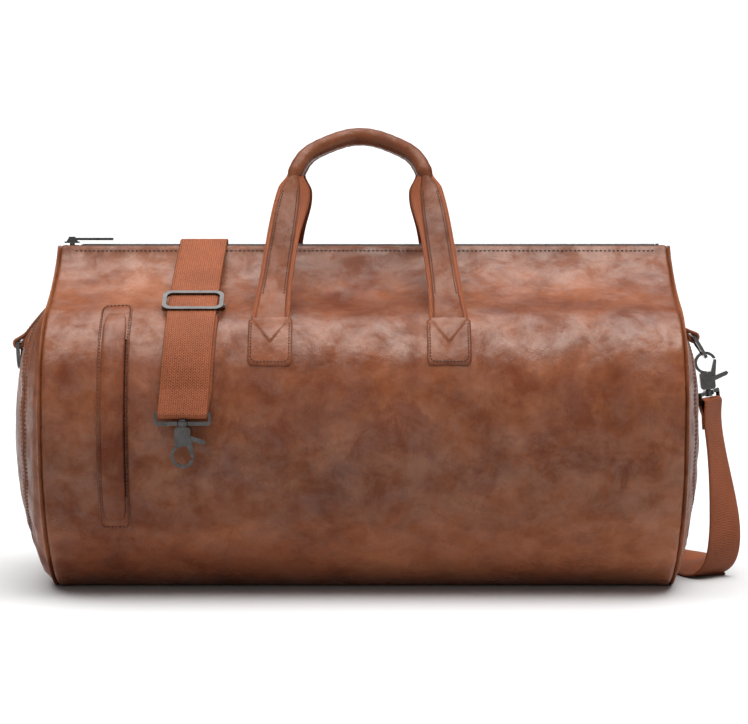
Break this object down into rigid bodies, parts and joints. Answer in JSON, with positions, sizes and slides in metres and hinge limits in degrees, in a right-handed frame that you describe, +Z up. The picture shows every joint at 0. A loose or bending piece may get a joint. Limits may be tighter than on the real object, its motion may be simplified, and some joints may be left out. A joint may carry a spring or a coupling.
{
  "type": "garment duffel bag",
  "caption": "Convertible leather garment duffel: rolled wrap with a ridge zip, domed ends, carrying handles, front pocket and clip-on webbing shoulder strap.",
  "frame": {"origin": "middle of the flat base, on the surface the bag stands on", "axes": "+X along the bag towards the hooked end, -Y the front with the pocket, +Z up"},
  "size_m": [0.5845, 0.3004, 0.3591],
  "materials": {
    "leather": "glossy mottled brown",
    "webbing": "twill webbing",
    "gunmetal": "polished dark nickel",
    "zip_black": "zip tape and coil",
    "lining": "plain woven",
    "board": "matte"
  },
  "bodies": {
    "root": {"back_handle_patches": "leather", "base_board": "board", "body_wrap": "leather", "front_handle_patches": "leather", "left_end_gusset": "leather", "left_end_panel": "leather", "left_ring_tab": "leather", "left_wrap_zip_tape": "zip_black", "pocket_pouch": "lining", "pocket_welt": "leather", "right_d_ring": "gunmetal", "right_end_gusset": "leather", "right_end_panel": "leather", "right_hook_bail": "gunmetal", "right_hook_body": "gunmetal", "right_hook_pin": "gunmetal", "right_ring_tab": "leather", "right_wrap_zip_tape": "zip_black", "shoe_compartment_divider": "lining", "shoe_zip_tape": "zip_black", "strap_back_rise": "webbing", "strap_floor_run": "webbing", "strap_front_drop": "webbing", "strap_front_fold": "webbing", "strap_return_layer": "webbing", "strap_ridge_arch": "webbing", "strap_side_drop": "webbing", "strap_side_fold": "webbing", "top_zip_coil_back": "zip_black", "top_zip_coil_front": "zip_black", "top_zip_stop": "gunmetal", "top_zip_tape_back": "zip_black", "top_zip_tape_front": "zip_black", "wrap_lining": "lining"},
    "top_zip_slider": {"top_zip_slider": "gunmetal"},
    "top_zip_pull": {"top_zip_pull": "gunmetal"},
    "front_handle": {"front_handle_webbing": "webbing", "front_handle_leather": "leather", "front_handle_grip": "leather"},
    "back_handle": {"back_handle_webbing": "webbing", "back_handle_leather": "leather", "back_handle_grip": "leather"},
    "left_wrap_zip_slider": {"left_wrap_zip_slider": "gunmetal", "left_wrap_zip_pull": "gunmetal"},
    "right_wrap_zip_slider": {"right_wrap_zip_slider": "gunmetal", "right_wrap_zip_pull": "gunmetal"},
    "shoe_zip_slider": {"shoe_zip_slider": "gunmetal", "shoe_zip_pull": "gunmetal"},
    "left_d_ring": {"left_d_ring": "gunmetal"},
    "strap_slide": {"strap_slide_frame": "gunmetal", "strap_slide_bar": "gunmetal"},
    "front_hook_bail": {"front_hook_bail": "gunmetal"},
    "front_hook_body": {"front_hook_body": "gunmetal", "front_hook_pin": "gunmetal"},
    "front_hook_gate": {"front_hook_gate": "gunmetal"},
    "right_hook_gate": {"right_hook_gate": "gunmetal"}
  },
  "joints": [
    {"name": "top_zip_travel", "type": "slide", "parent": "root", "child": "top_zip_slider", "axis": [1, 0, 0], "range_m": [0, 0.455]},
    {"name": "top_zip_pull_flip", "type": "hinge", "parent": "top_zip_slider", "child": "top_zip_pull", "pos_m": [-0.2335, 0, 0.2732], "axis": [0, -1, 0], "range_deg": [0, 175]},
    {"name": "front_handle_fold", "type": "hinge", "parent": "root", "child": "front_handle", "pos_m": [0, -0.1108, 0.21528], "axis": [1, 0, 0], "range_deg": [0, 150]},
    {"name": "back_handle_fold", "type": "hinge", "parent": "root", "child": "back_handle", "pos_m": [0, 0.1108, 0.21528], "axis": [-1, 0, 0], "range_deg": [0, 150]},
    {"name": "left_wrap_zip_travel", "type": "hinge", "parent": "root", "child": "left_wrap_zip_slider", "pos_m": [0, 0, 0.135], "axis": [-1, 0, 0], "range_deg": [0, 62]},
    {"name": "right_wrap_zip_travel", "type": "hinge", "parent": "root", "child": "right_wrap_zip_slider", "pos_m": [0, 0, 0.135], "axis": [-1, 0, 0], "range_deg": [0, 62]},
    {"name": "shoe_zip_travel", "type": "hinge", "parent": "root", "child": "shoe_zip_slider", "pos_m": [0, 0, 0.125], "axis": [-1, 0, 0], "range_deg": [0, 205]},
    {"name": "left_ring_swing", "type": "hinge", "parent": "root", "child": "left_d_ring", "pos_m": [-0.2759, 0, 0.19], "axis": [0, 1, 0], "range_deg": [0, 110]},
    {"name": "strap_slide_travel", "type": "slide", "parent": "root", "child": "strap_slide", "axis": [0, 0.8536, 0.521], "range_m": [0, 0.04]},
    {"name": "front_bail_swing", "type": "hinge", "parent": "root", "child": "front_hook_bail", "pos_m": [-0.1345, -0.1505, 0.1456], "axis": [-1, 0, 0], "range_deg": [0, 80]},
    {"name": "front_hook_swivel", "type": "hinge", "parent": "front_hook_bail", "child": "front_hook_body", "pos_m": [-0.1345, -0.1505, 0.138], "axis": [0, 0, -1], "range_deg": [-15, 180]},
    {"name": "front_hook_trigger", "type": "hinge", "parent": "front_hook_body", "child": "front_hook_gate", "pos_m": [-0.1313, -0.1505, 0.128], "axis": [0, 1, 0], "range_deg": [0, 22], "stiffness_Nm_per_rad": 0.01, "springref_deg": -5.73},
    {"name": "right_hook_trigger", "type": "hinge", "parent": "root", "child": "right_hook_gate", "pos_m": [0.27888, 0, 0.16049], "axis": [0, -1, 0], "range_deg": [0, 22], "stiffness_Nm_per_rad": 0.01, "springref_deg": -5.73}
  ]
}
